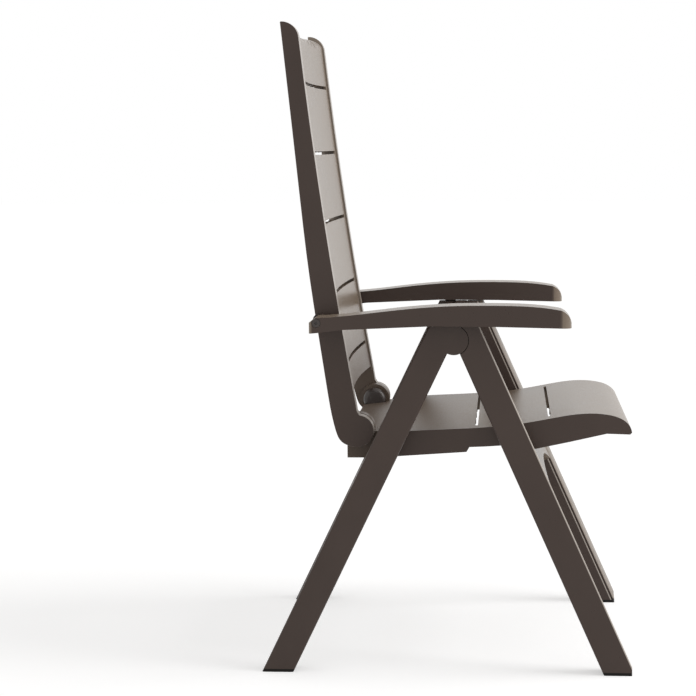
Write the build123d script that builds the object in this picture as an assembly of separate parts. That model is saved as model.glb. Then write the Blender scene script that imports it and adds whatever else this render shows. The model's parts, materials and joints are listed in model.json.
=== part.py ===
from build123d import *
from math import atan2, cos, degrees, hypot, radians, sin, sqrt, tan
import os

# Reclining folding garden armchair in moulded resin, in millimetres.
# The chair faces -Y, +X is its left arm seen from behind, +Z is up, and the floor is at zero.
# The rear legs carry the seat hinge, the leg pivot and the catch pegs of the arms.

# Pivots in the side view, as (Y, Z) from the floor under the middle of the chair
leg_pivot_y = -13.0
leg_pivot_z = 565.0
seat_hinge_y = 98.0
seat_hinge_z = 390.0
back_hinge_y = 151.0
back_hinge_z = 406.5
arm_hinge_y = 213.5
arm_hinge_z = 596.5

# Half widths, each from the piece inside it
seat_half_width = 250.0
seat_neck_step = 25.0
seat_lug_thickness = 24.0
seat_slot_margin = 34.0
leg_seat_gap = 8.0
back_knuckle_gap = 1.0
back_over_seat = 3.0
back_rail_width = 24.0
back_slot_margin = 13.0
arm_back_gap = 15.0

# Angles of the travel, in degrees
recline_travel = 34.6
arm_tilt_travel = 12.4
catch_position_shares = [0.0, 0.284, 0.586, 1.0]

# Play and cuts
running_play = 0.06
side_play = 0.5
lap_play = 1.0
overrun = 40.0

# Legs: hollow resin legs with a crowned front band and a groove beside it
front_leg_angle = 23.9
rear_leg_angle = 25.8
front_leg_width = 43.0
rear_leg_width = 48.0
leg_thickness = 42.0
leg_wall = 4.5
leg_front_wall = 12.0
leg_edge_radius = 4.0
leg_top_rise = 23.0
arm_wall_drop = 2.0
leg_cavity_top_z = 520.0
knuckle_radius = 24.5
groove_from_inner = 7.0
groove_width = 3.5
groove_depth = 8.0
crown_rise = 6.0
crown_middle_share = 0.68
crown_edge_radius = 1.6
inner_band_setback = 3.5
foot_cap_height = 5.0
foot_plug_height = 16.0
foot_plug_play = 0.4

# Catch tongue and peg at the top of each rear leg
peg_y = 8.0
peg_rise = 35.5
peg_radius = 5.0
peg_half_length = 15.0
tongue_width = 26.0
tongue_thickness = 12.0
tongue_from_outer = 10.0
tongue_cap_radius = 9.0

# Leg pivot pin
leg_pin_radius = 7.0
leg_pin_head_radius = 12.0
leg_pin_head_height = 4.0
leg_pin_end_wall = 4.0
leg_washer_radius = 19.0

# Cross panels between the legs
panel_thickness = 14.0
front_panel_top_z = 372.0
front_panel_bottom_z = 322.0
front_panel_foot_z = 284.0
rear_panel_top_z = 288.0
rear_panel_bottom_z = 232.0
rear_panel_foot_z = 193.0
panel_corner_reach = 52.0
panel_corner_share = 0.66
front_panel_proud = 0.0
rear_panel_proud = -1.5
panel_seat_play = 0.3
panel_wall = 4.0
panel_rib_count = 5
dowel_depth = 6.0
dowel_radius = 3.5
dowel_half_length = 11.0
dowel_edge_distance = 16.0

# Seat shell
seat_wall = 4.2
seat_skirt_wall = 5.0
seat_rear_y = 171.0
seat_neck_y = 108.0
seat_slot_width = 4.8
seat_first_slot_y = -173.5
seat_slot_pitch = 124.0
seat_slot_count = 3
seat_rib_depth = 15.0
seat_rib_thickness = 3.5
seat_rib_from_slot = 6.0
seat_long_rib_count = 5
seat_lug_radius = 27.5
seat_top_outline = [
    (seat_rear_y, 397.0), (120.0, 402.5), (66.0, 406.3), (-10.0, 409.8), (-72.0, 413.5),
    (-125.0, 419.4), (-173.0, 428.0), (-212.0, 434.8), (-242.0, 437.0), (-272.0, 434.6),
    (-294.0, 427.6), (-306.5, 417.0), (-311.0, 404.5),
]
seat_skirt_outline = [
    (-308.0, 401.4), (-269.0, 402.6), (-207.0, 388.6), (-150.0, 376.6), (-126.0, 375.8),
    (-98.0, 382.4), (-64.0, 380.2), (-38.0, 379.2), (-33.0, 370.9), (86.0, 363.0), (seat_rear_y, 356.8),
]

# Seat hinge pins, in the rear legs
seat_pin_radius = 6.0
seat_pin_leg_depth = 26.0
seat_pin_head_radius = 9.5
seat_pin_head_height = 3.0
seat_boss_radius = 13.0
seat_boss_depth = 18.0
seat_washer_radius = 15.0

# Backrest shell
back_wall = 4.2
back_skirt_wall = 6.0
back_recess_depth = 12.5
back_recess_step = 3.0
back_slot_width = 6.0
back_first_slot_drop = 71.8
back_slot_pitch = 122.1
back_slot_count = 5
back_rib_depth = 13.0
back_rib_thickness = 3.5
back_rib_from_slot = 6.5
back_long_rib_count = 5
back_nose_radius = 29.0
back_seam_width = 2.0
back_seam_depth = 1.8
back_rim_drop = 9.5
back_neck = (152.4, 440.0)
back_panel_bottom_z = 466.0
back_front_low = (155.6, 459.4)
back_front_middle = (205.8, 765.0)
back_front_high = (245.7, 1070.0)
back_rear_high = (276.6, 1095.0)
back_rear_outline = [(261.1, 948.5), (245.6, 798.0), (230.2, 663.0), (217.4, 575.0), (201.2, 468.0)]
back_boot_outline = [(190.0, 412.0), (183.5, 394.0)]
back_knuckle_radius = 27.0

# Back hinge pins, through the seat lugs into the backrest
back_pin_radius = 6.5
back_pin_knuckle_depth = 18.0
back_pin_head_radius = 21.0
back_pin_head_height = 18.0
back_pin_dome_radius = 8.0
back_washer_radius = 17.0

# Armrests: open-bottomed channels with catch ribs
arm_width = 62.0
arm_wall = 3.5
arm_corner_radius = 20.0
arm_tail_radius = 7.0
arm_boss_radius = 11.5
arm_top_outline = [
    (226.0, 597.0), (215.0, 605.2), (168.0, 608.2), (76.0, 618.4), (-8.0, 624.4), (-90.0, 625.0),
    (-156.0, 621.8), (-190.0, 616.8), (-202.5, 607.5), (-207.6, 586.7),
]
arm_nose_start = 7
arm_bottom_outline = [(-82.0, 590.1), (25.0, 591.0), (170.0, 585.3), (209.0, 580.6), (226.0, 579.0)]
arm_rib_thickness = 6.0
arm_rib_steps = 8
arm_rib_play = 0.6
arm_catch_depth = 3.5
arm_web_thickness = 3.0
arm_web_depth = 13.0
arm_web_shares = [0.2, 0.36, 0.8, 0.9]

# Arm pivot pins, bushes and nuts
arm_pin_radius = 5.0
arm_pin_head_radius = 6.8
arm_pin_head_height = 3.0
arm_pin_head_play = 0.8
arm_bush_radius = 11.0
arm_nut_radius = 9.0
arm_nut_height = 6.0
arm_pin_socket_depth = 2.6
arm_pin_socket_radius = 2.6


# Helpers for the side view, where a point is (Y, Z)
def turned(point, centre, angle):
    """A point turned about a centre, positive from +Y towards +Z."""
    dy = point[0] - centre[0]
    dz = point[1] - centre[1]
    c = cos(radians(angle))
    s = sin(radians(angle))
    return (centre[0] + dy * c - dz * s, centre[1] + dy * s + dz * c)


def inset(points, distance):
    """The points moved square to their line, to the left of its direction."""
    moved = []
    for index, point in enumerate(points):
        before = points[max(index - 1, 0)]
        after = points[min(index + 1, len(points) - 1)]
        dy = after[0] - before[0]
        dz = after[1] - before[1]
        length = hypot(dy, dz)
        moved.append((point[0] - dz / length * distance, point[1] + dy / length * distance))
    return moved


def plate(lines, x_low, x_high):
    """A closed outline in the side view, given thickness along X."""
    face = make_face(lines)
    return extrude(Plane.YZ.offset(x_low) * face, amount=x_high - x_low)


def polygon_plate(points, x_low, x_high):
    return plate(Polyline(*points, close=True), x_low, x_high)


def rod(centre, radius, x_low, x_high):
    """A round bar along X at a point of the side view."""
    disc = Pos(centre[0], centre[1]) * Circle(radius)
    return extrude(Plane.YZ.offset(x_low) * disc, amount=x_high - x_low)


def both_sides(solid):
    return [solid, mirror(solid, about=Plane.YZ)]


def fused(solids):
    whole = solids[0]
    for solid in solids[1:]:
        whole = whole + solid
    return whole


def save(name, solids):
    if not isinstance(solids, list):
        solids = [solids]
    bodies = []
    for solid in solids:
        bodies.extend(solid.solids())
    shape = bodies[0] if len(bodies) == 1 else Compound(children=bodies)
    export_step(shape, "parts/" + name + ".step")


leg_pivot = (leg_pivot_y, leg_pivot_z)
seat_hinge = (seat_hinge_y, seat_hinge_z)
back_hinge = (back_hinge_y, back_hinge_z)
arm_hinge = (arm_hinge_y, arm_hinge_z)
leg_top_z = leg_pivot_z + leg_top_rise
peg_z = leg_pivot_z + peg_rise
peg = (peg_y, peg_z)
seat_rear_half_width = seat_half_width - seat_neck_step
seat_lug_inner_x = seat_rear_half_width - seat_lug_thickness
seat_slot_half_length = seat_half_width - seat_slot_margin
seat_pin_head_x = seat_half_width - seat_boss_depth
leg_inner_x = seat_half_width + leg_seat_gap
leg_outer_x = leg_inner_x + leg_thickness
lap_x = leg_inner_x + leg_thickness / 2
tongue_centre_x = leg_outer_x - tongue_from_outer
seat_pin_outer_x = leg_inner_x + seat_pin_leg_depth
back_knuckle_inner_x = seat_rear_half_width + back_knuckle_gap
back_pin_end_x = back_knuckle_inner_x + back_pin_knuckle_depth
back_half_width = seat_half_width + back_over_seat
back_recess_half_width = back_half_width - back_rail_width
back_slot_half_length = back_recess_half_width - back_slot_margin
arm_inner_x = back_half_width + arm_back_gap
arm_outer_x = arm_inner_x + arm_width


# Legs
def leg_edges(side, z, width, angle):
    """Y of the edge through the pivot and of the far edge, at a height; side is -1 in front, 1 behind."""
    near = leg_pivot_y + side * (leg_pivot_z - z) * tan(radians(angle))
    return near, near + side * width / cos(radians(angle))


def leg_outline(side, width, angle, low, high, grow=0.0):
    lean = grow / cos(radians(angle))
    low_near, low_far = leg_edges(side, low, width, angle)
    high_near, high_far = leg_edges(side, high, width, angle)
    return [
        (low_near - side * lean, low), (low_far + side * lean, low),
        (high_far + side * lean, high), (high_near - side * lean, high),
    ]


def leg_body(side, width, angle):
    """The full-thickness bar of one leg, hollow from the foot up, with eased long edges."""
    bar = polygon_plate(leg_outline(side, width, angle, foot_cap_height, leg_top_z), leg_inner_x, leg_outer_x)
    long_edges = [edge for edge in bar.edges() if edge.length > leg_cavity_top_z]
    return fillet(long_edges, leg_edge_radius)


def leg_cavity(side, width, angle, near_wall, far_wall):
    c = cos(radians(angle))
    low = foot_cap_height - overrun
    low_near, low_far = leg_edges(side, low, width, angle)
    high_near, high_far = leg_edges(side, leg_cavity_top_z, width, angle)
    points = [
        (low_near + side * near_wall / c, low), (low_far - side * far_wall / c, low),
        (high_far - side * far_wall / c, leg_cavity_top_z),
        (high_near + side * near_wall / c, leg_cavity_top_z),
    ]
    return polygon_plate(points, leg_inner_x + leg_wall, leg_outer_x - leg_wall)


def front_band():
    """The crowned band beside the groove, which rises from the leg's front face to its outer edge."""
    band_low = leg_inner_x + groove_from_inner + groove_width
    start = Vector(0, leg_edges(-1, foot_cap_height, front_leg_width, front_leg_angle)[1], foot_cap_height)
    end = Vector(0, leg_edges(-1, leg_top_z, front_leg_width, front_leg_angle)[1], leg_top_z)
    along = (end - start).normalized()
    section_plane = Plane(origin=start - along * overrun, x_dir=(1, 0, 0), z_dir=along)
    ridge = leg_outer_x - crown_edge_radius
    middle = ((band_low + ridge) / 2, -crown_rise * crown_middle_share)
    crown = ThreePointArc((band_low, 0), middle, (ridge, -crown_rise))
    side_top = (leg_outer_x, crown_edge_radius - crown_rise)
    ridge_centre = (ridge, crown_edge_radius - crown_rise)
    round_edge = ThreePointArc((ridge, -crown_rise), turned((ridge, -crown_rise), ridge_centre, 45), side_top)
    back = Polyline(side_top, (leg_outer_x, leg_front_wall / 2),
                    (band_low, leg_front_wall / 2), (band_low, 0))
    return extrude(section_plane * make_face([crown, round_edge, back]), amount=(end - start).length + overrun * 2)


def slab(low, high, half_width=arm_outer_x):
    """A level block between two heights, wider and deeper than the chair."""
    depth = overrun * 20
    return Pos(0, 0, (low + high) / 2) * Box(half_width * 2, depth, high - low)


def toe_cut():
    """What lies ahead of the front foot's toe, where the crowned band is cut upright."""
    toe = leg_edges(-1, 0, front_leg_width, front_leg_angle)[1]
    low = -overrun
    points = [(toe - overrun, low), (toe, low), (toe, leg_pivot_z), (toe - overrun, leg_pivot_z)]
    return polygon_plate(points, leg_inner_x - overrun, leg_outer_x + overrun)


def front_leg():
    leg = leg_body(-1, front_leg_width, front_leg_angle)
    band = front_band() & slab(foot_cap_height, leg_top_z)
    leg = leg + (band - toe_cut())
    groove_low = leg_inner_x + groove_from_inner
    start = leg_edges(-1, foot_cap_height - overrun, front_leg_width, front_leg_angle)[1]
    end = leg_edges(-1, leg_top_z + overrun, front_leg_width, front_leg_angle)[1]
    depth = groove_depth / cos(radians(front_leg_angle))
    groove_points = [
        (start - overrun, foot_cap_height - overrun), (start + depth, foot_cap_height - overrun),
        (end + depth, leg_top_z + overrun), (end - overrun, leg_top_z + overrun),
    ]
    leg = leg - polygon_plate(groove_points, groove_low, groove_low + groove_width)
    setback = inner_band_setback / cos(radians(front_leg_angle))
    band_points = [
        (start - overrun, foot_cap_height - overrun), (start + setback, foot_cap_height - overrun),
        (end + setback, leg_top_z + overrun), (end - overrun, leg_top_z + overrun),
    ]
    leg = leg - polygon_plate(band_points, leg_inner_x - overrun, groove_low)
    leg = leg - leg_cavity(-1, front_leg_width, front_leg_angle, leg_wall, leg_front_wall)
    leg = leg + rod(leg_pivot, knuckle_radius, leg_inner_x, lap_x - side_play)
    rear_shape = leg_outline(1, rear_leg_width, rear_leg_angle, leg_pivot_z, leg_top_z + overrun, lap_play)
    clear = polygon_plate(rear_shape, lap_x - side_play, leg_outer_x + overrun)
    clear = clear + rod(leg_pivot, knuckle_radius + lap_play, lap_x - side_play, leg_outer_x + overrun)
    leg = leg - clear
    return leg - rod(leg_pivot, leg_pin_radius + running_play, leg_inner_x - overrun, leg_outer_x)


def arm_wall_path():
    """The room that the armrest's inner wall sweeps over the rear leg's top as it tilts."""
    drop = overrun * 2 * tan(radians(arm_tilt_travel))
    low = leg_top_z - arm_wall_drop
    points = [
        (peg_y - overrun * 2, low), (peg_y, low), (peg_y + overrun * 2, low - drop),
        (peg_y + overrun * 2, leg_top_z + overrun), (peg_y - overrun * 2, leg_top_z + overrun),
    ]
    return polygon_plate(points, leg_inner_x - overrun, arm_inner_x + arm_wall + side_play * 3)


def rear_leg():
    leg = leg_body(1, rear_leg_width, rear_leg_angle)
    leg = leg - leg_cavity(1, rear_leg_width, rear_leg_angle, leg_wall, leg_wall)
    front_shape = leg_outline(-1, front_leg_width, front_leg_angle, leg_pivot_z, leg_top_z + overrun, lap_play)
    clear = polygon_plate(front_shape, leg_inner_x - overrun, lap_x + side_play)
    clear = clear + rod(leg_pivot, knuckle_radius + lap_play, leg_inner_x - overrun, lap_x + side_play)
    leg = leg - clear
    leg = leg + rod(leg_pivot, knuckle_radius, lap_x + side_play, leg_outer_x)
    leg = leg & slab(foot_cap_height, leg_top_z)
    leg = leg - arm_wall_path()
    tongue_low = tongue_centre_x - tongue_thickness / 2
    tongue_high = tongue_centre_x + tongue_thickness / 2
    root_z = leg_pivot_z
    tongue = polygon_plate(
        [
            (peg_y - tongue_width / 2, root_z), (peg_y + tongue_width / 2, root_z),
            (peg_y + tongue_cap_radius, peg_z), (peg_y - tongue_cap_radius, peg_z),
        ],
        tongue_low, tongue_high,
    )
    tongue = tongue + rod(peg, tongue_cap_radius, tongue_low, tongue_high)
    leg = leg + tongue
    leg = leg - rod(peg, peg_radius + running_play, tongue_low - overrun, tongue_high + overrun)
    leg = leg - rod(leg_pivot, leg_pin_radius + running_play, leg_inner_x, leg_outer_x - leg_pin_end_wall)
    boss = rod(seat_hinge, seat_boss_radius, leg_inner_x + leg_wall / 2, leg_outer_x - leg_wall / 2)
    leg = leg + boss
    return leg - rod(seat_hinge, seat_pin_radius + running_play, leg_inner_x - overrun, seat_pin_outer_x + side_play)


def foot_cap(side, width, angle, near_wall, far_wall):
    """A cap under a leg's open end, with a plug that stands inside it."""
    c = cos(radians(angle))
    base = leg_outline(side, width, angle, 0, foot_cap_height)
    cap = polygon_plate(base, leg_inner_x, leg_outer_x)
    upright = [edge for edge in cap.edges() if abs(edge.tangent_at(0).Z) > cos(radians(angle * 2))]
    cap = fillet(upright, leg_edge_radius)
    low = foot_cap_height / 2
    high = foot_cap_height + foot_plug_height
    low_near, low_far = leg_edges(side, low, width, angle)
    high_near, high_far = leg_edges(side, high, width, angle)
    near_gap = side * (near_wall + foot_plug_play) / c
    far_gap = side * (far_wall + foot_plug_play) / c
    plug = polygon_plate(
        [
            (low_near + near_gap, low), (low_far - far_gap, low),
            (high_far - far_gap, high), (high_near + near_gap, high),
        ],
        leg_inner_x + leg_wall + foot_plug_play, leg_outer_x - leg_wall - foot_plug_play,
    )
    return cap + plug


# Cross panels
def panel_plane(side, z, width, angle):
    """A plane in a leg's outer face, looking towards the other legs, with X across and Y up the leg."""
    far = leg_edges(side, z, width, angle)[1]
    lean = radians(angle)
    inward = (0, -side * cos(lean), -sin(lean))
    return Plane(origin=(0, far, z), x_dir=(side, 0, 0), z_dir=inward)


def lower_edge(half, rise, corner_reach):
    """A panel's lower edge: one long arch, or a straight run with a curved corner at each leg."""
    if corner_reach == half:
        return [ThreePointArc((half, 0), (0, rise), (-half, 0))]
    shoulder = half - corner_reach
    haunch = half - corner_reach / 4
    haunch_height = rise * panel_corner_share
    return [
        Spline((half, 0), (haunch, haunch_height), (shoulder, rise), tangents=[(0, 1), (-1, 0)]),
        Line((shoulder, rise), (-shoulder, rise)),
        Spline((-shoulder, rise), (-haunch, haunch_height), (-half, 0), tangents=[(-1, 0), (0, -1)]),
    ]


def cross_panel(side, width, angle, top_z, bottom_z, foot_z, proud, cheek_seat, corner_reach):
    """A panel between two legs, with an arched lower edge, a rim and ribs at its hidden side."""
    plane = panel_plane(side, foot_z, width, angle).offset(-proud)
    rise = 1 / cos(radians(angle))
    top = (top_z - foot_z) * rise
    bottom = (bottom_z - foot_z) * rise
    half = leg_inner_x
    shoulder = half - panel_corner_reach
    outline = [Polyline((-half, 0), (-half, top), (half, top), (half, 0))]
    outline += lower_edge(half, bottom, corner_reach)
    panel = extrude(plane * make_face(outline), amount=panel_thickness)
    pocket_top = top - panel_wall
    pocket_low = bottom + panel_wall
    span = shoulder * 2
    bay = (span - panel_wall * (panel_rib_count + 1)) / (panel_rib_count + 1)
    for index in range(panel_rib_count + 1):
        centre = -span / 2 + panel_wall / 2 + bay / 2 + index * (bay + panel_wall)
        pocket = Pos(centre, (pocket_top + pocket_low) / 2) * Rectangle(bay, pocket_top - pocket_low)
        panel = panel - extrude(plane.offset(panel_wall) * pocket, amount=panel_thickness)
    if cheek_seat > 0:
        cheek_width = groove_from_inner + groove_width - panel_seat_play
        for direction in (-1, 1):
            middle = direction * (half + cheek_width / 2)
            cheek = Pos(middle, top / 2) * Rectangle(cheek_width, top)
            panel = panel + extrude(plane * cheek, amount=cheek_seat)
    for dowel in panel_dowels(side, width, angle, top_z, foot_z, dowel_radius + running_play):
        panel = panel - dowel
    return panel


def panel_dowels(side, width, angle, top_z, foot_z, radius):
    """Round dowels along X that join a panel to the inner walls of both legs."""
    plane = panel_plane(side, foot_z, width, angle).offset(dowel_depth)
    top = (top_z - foot_z) / cos(radians(angle))
    dowels = []
    for height in (dowel_edge_distance, top - dowel_edge_distance):
        point = plane.from_local_coords((0, height, 0))
        bar = rod((point.Y, point.Z), radius, leg_inner_x - dowel_half_length, leg_inner_x + dowel_half_length)
        dowels.extend(both_sides(bar))
    return dowels


# Seat
def seat_curve(points):
    return Spline(*points)


def seat_block(half_width, top, skirt):
    lines = [seat_curve(top), Polyline(top[-1], *skirt, top[0])]
    return plate(lines, -half_width, half_width)


def seat_rib_places():
    places = []
    for index in range(seat_slot_count):
        slot_y = seat_first_slot_y + index * seat_slot_pitch
        places.extend([slot_y - seat_rib_from_slot, slot_y + seat_rib_from_slot])
    return places


def seat_slots():
    slots = []
    for index in range(seat_slot_count):
        slot_y = seat_first_slot_y + index * seat_slot_pitch
        slot = Pos(0, slot_y, back_hinge_z) * Box(seat_slot_half_length * 2, seat_slot_width, overrun * 3)
        slots.append(slot)
    return slots


def seat_shell():
    """A moulded seat: curved top, skirts, ribs under the slats, and two lugs for the back hinge."""
    block = seat_block(seat_half_width, seat_top_outline, seat_skirt_outline)
    inner_top = inset(seat_top_outline, seat_wall)
    inner_top = [(seat_rear_y - seat_wall, inner_top[0][1])] + inner_top[1:]
    low = seat_skirt_outline[-1][1] - overrun
    below = [(inner_top[-1][0], low), (inner_top[0][0], low)]
    hollow = plate([seat_curve(inner_top), Polyline(inner_top[-1], *below, inner_top[0])],
                   -seat_half_width + seat_skirt_wall, seat_half_width - seat_skirt_wall)
    shell = block - hollow
    ribs = []
    rib_z = back_hinge_z
    for place in seat_rib_places():
        ribs.append(Pos(0, place, rib_z) * Box(seat_half_width * 2, seat_rib_thickness, overrun * 3))
    long_pitch = seat_half_width * 2 / (seat_long_rib_count + 1)
    seat_length = seat_rear_y - seat_top_outline[-1][0]
    for index in range(seat_long_rib_count):
        rib_x = -seat_half_width + long_pitch * (index + 1)
        middle_y = (seat_rear_y + seat_top_outline[-1][0]) / 2
        ribs.append(Pos(rib_x, middle_y, rib_z) * Box(seat_rib_thickness, seat_length, overrun * 3))
    rib_floor = inset(seat_top_outline, seat_rib_depth)
    rib_zone = plate([seat_curve(seat_top_outline), Line(seat_top_outline[-1], rib_floor[-1]),
                      seat_curve(rib_floor), Line(rib_floor[0], seat_top_outline[0])],
                     -seat_half_width + seat_skirt_wall / 2, seat_half_width - seat_skirt_wall / 2)
    shell = shell + (fused(ribs) & rib_zone & block)
    for slot in seat_slots():
        shell = shell - slot
    neck_depth = seat_rear_y - seat_neck_y + overrun
    for neck in both_sides(Pos(seat_rear_half_width + overrun / 2, seat_neck_y + neck_depth / 2, back_hinge_z)
                           * Box(overrun, neck_depth, overrun * 3)):
        shell = shell - neck
    neck_wall = Pos(seat_rear_half_width - seat_skirt_wall / 2,
                    (seat_neck_y + seat_rear_y) / 2 - seat_skirt_wall / 2, back_hinge_z)
    neck_wall = neck_wall * Box(seat_skirt_wall, seat_rear_y - seat_neck_y + seat_skirt_wall, overrun * 3)
    step_wall = Pos((seat_rear_half_width + seat_half_width) / 2 - seat_skirt_wall / 2,
                    seat_neck_y - seat_skirt_wall / 2, back_hinge_z)
    step_width = seat_half_width - seat_rear_half_width + seat_skirt_wall
    step_wall = step_wall * Box(step_width, seat_skirt_wall, overrun * 3)
    rear_wall = Pos(0, seat_rear_y - seat_skirt_wall / 2, back_hinge_z)
    rear_wall = rear_wall * Box(seat_rear_half_width * 2, seat_skirt_wall, overrun * 3)
    walls = fused(both_sides(neck_wall) + both_sides(step_wall) + [rear_wall])
    shell = shell + (walls & block)
    lug = rod(back_hinge, seat_lug_radius, seat_lug_inner_x, seat_rear_half_width)
    lug_root = polygon_plate(
        [
            (back_hinge_y - seat_lug_radius, back_hinge_z),
            (back_hinge_y - seat_lug_radius, seat_skirt_outline[-1][1]),
            (seat_rear_y, seat_skirt_outline[-1][1]), (seat_rear_y, back_hinge_z),
        ],
        seat_lug_inner_x, seat_rear_half_width,
    )
    lug = lug + lug_root
    shell = fused([shell] + both_sides(lug))
    boss = rod(seat_hinge, seat_boss_radius, seat_pin_head_x, seat_half_width)
    shell = fused([shell] + both_sides(boss))
    head_low = seat_pin_head_x - seat_pin_head_height * 2
    lug_low = seat_lug_inner_x - overrun
    dome_low = seat_lug_inner_x - back_pin_head_height - side_play * 2
    bores = both_sides(rod(seat_hinge, seat_pin_head_radius + side_play, head_low, seat_pin_head_x))
    bores += both_sides(rod(back_hinge, back_pin_head_radius + side_play * 2, dome_low, seat_lug_inner_x))
    bores += both_sides(rod(seat_hinge, seat_pin_radius + running_play, head_low, leg_outer_x))
    bores += both_sides(rod(back_hinge, back_pin_radius + running_play, lug_low, leg_outer_x))
    for bore in bores:
        shell = shell - bore
    return shell


# Backrest
def back_front_path():
    return ThreePointArc(back_front_low, back_front_middle, back_front_high)


def in_side_view(edge):
    """A curve drawn as (Y, Z), stood up in the middle plane of the chair."""
    return Plane.YZ * edge


def back_nose():
    """The rounded top of the rails, from the front edge over to the rear."""
    path = back_front_path()
    tangent = path % 1
    centre = (back_front_high[0] + tangent.Y * back_nose_radius, back_front_high[1] - tangent.X * back_nose_radius)
    start_angle = degrees(atan2(back_front_high[1] - centre[1], back_front_high[0] - centre[0]))
    end = (centre[0], centre[1] + back_nose_radius)
    middle = turned(back_front_high, centre, -(start_angle - 90) / 2)
    return ThreePointArc(back_front_high, middle, end), centre, end


def back_outline():
    """The rail's side view: front edge, nose, rear edge, boot and knuckle."""
    nose, centre, nose_end = back_nose()
    knuckle_top = turned((back_hinge_y - back_knuckle_radius, back_hinge_z), back_hinge, -84)
    knuckle_low = (back_hinge_y, back_hinge_z - back_knuckle_radius)
    knuckle_middle = (back_hinge_y - back_knuckle_radius, back_hinge_z)
    boot_end = back_boot_outline[-1]
    rear = [back_rear_high] + back_rear_outline + back_boot_outline
    return [
        back_front_path(),
        nose,
        Line(nose_end, back_rear_high),
        Spline(*rear, tangents=[(-0.105, -0.994), (-0.5, -0.86)]),
        Spline(boot_end, knuckle_low, tangents=[(-0.5, -0.86), (-1, 0)]),
        ThreePointArc(knuckle_low, knuckle_middle, knuckle_top),
        Polyline(knuckle_top, back_neck, back_front_low),
    ]


def back_section_plane(share):
    """A plane square to the front path, with X across the chair and Y towards the rear."""
    path = in_side_view(back_front_path())
    return Plane(origin=path @ share, x_dir=(1, 0, 0), z_dir=path % share)


def recess_face(depth, half_width):
    step = back_recess_step
    arc = ThreePointArc((-half_width, step), (0, depth), (half_width, step))
    front = Polyline((half_width, step), (half_width, -overrun), (-half_width, -overrun), (-half_width, step))
    return make_face([arc, front])


def hollow_face():
    inner = back_half_width - back_skirt_wall
    half = back_recess_half_width
    deep = back_recess_step + back_wall
    wide = half + back_wall
    arc = ThreePointArc((-half, deep), (0, back_recess_depth + back_wall), (half, deep))
    rim = Polyline((half, deep), (wide, deep), (wide, back_wall), (inner, back_wall), (inner, overrun * 2),
                   (-inner, overrun * 2), (-inner, back_wall), (-wide, back_wall), (-wide, deep), (-half, deep))
    return make_face([arc, rim])


def back_rim(nose_centre):
    """The room over the sheet at the top, which sinks below the rails' rim towards the rear."""
    lowered = (nose_centre[0] - back_rim_drop / 2, nose_centre[1] - back_rim_drop / 2)
    radius = back_nose_radius - back_rim_drop / 2
    low = -back_recess_half_width
    high = back_recess_half_width
    whole = polygon_plate(
        [
            (nose_centre[0] - overrun, nose_centre[1]), (nose_centre[0] + overrun, nose_centre[1]),
            (nose_centre[0] + overrun, nose_centre[1] + overrun),
            (nose_centre[0] - overrun, nose_centre[1] + overrun),
        ],
        low, high,
    )
    flat = polygon_plate(
        [
            (lowered[0], lowered[1]), (lowered[0] + overrun * 2, lowered[1]),
            (lowered[0] + overrun * 2, lowered[1] + radius), (lowered[0], lowered[1] + radius),
        ],
        low - overrun, high + overrun,
    )
    kept = rod(lowered, radius, low - overrun, high + overrun)
    return whole - kept - flat


def back_slot_shares():
    """Where the slots lie along the front path, from the top down."""
    length = back_front_path().length
    shares = []
    for index in range(back_slot_count):
        shares.append((length - back_first_slot_drop - index * back_slot_pitch) / length)
    return shares


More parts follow.
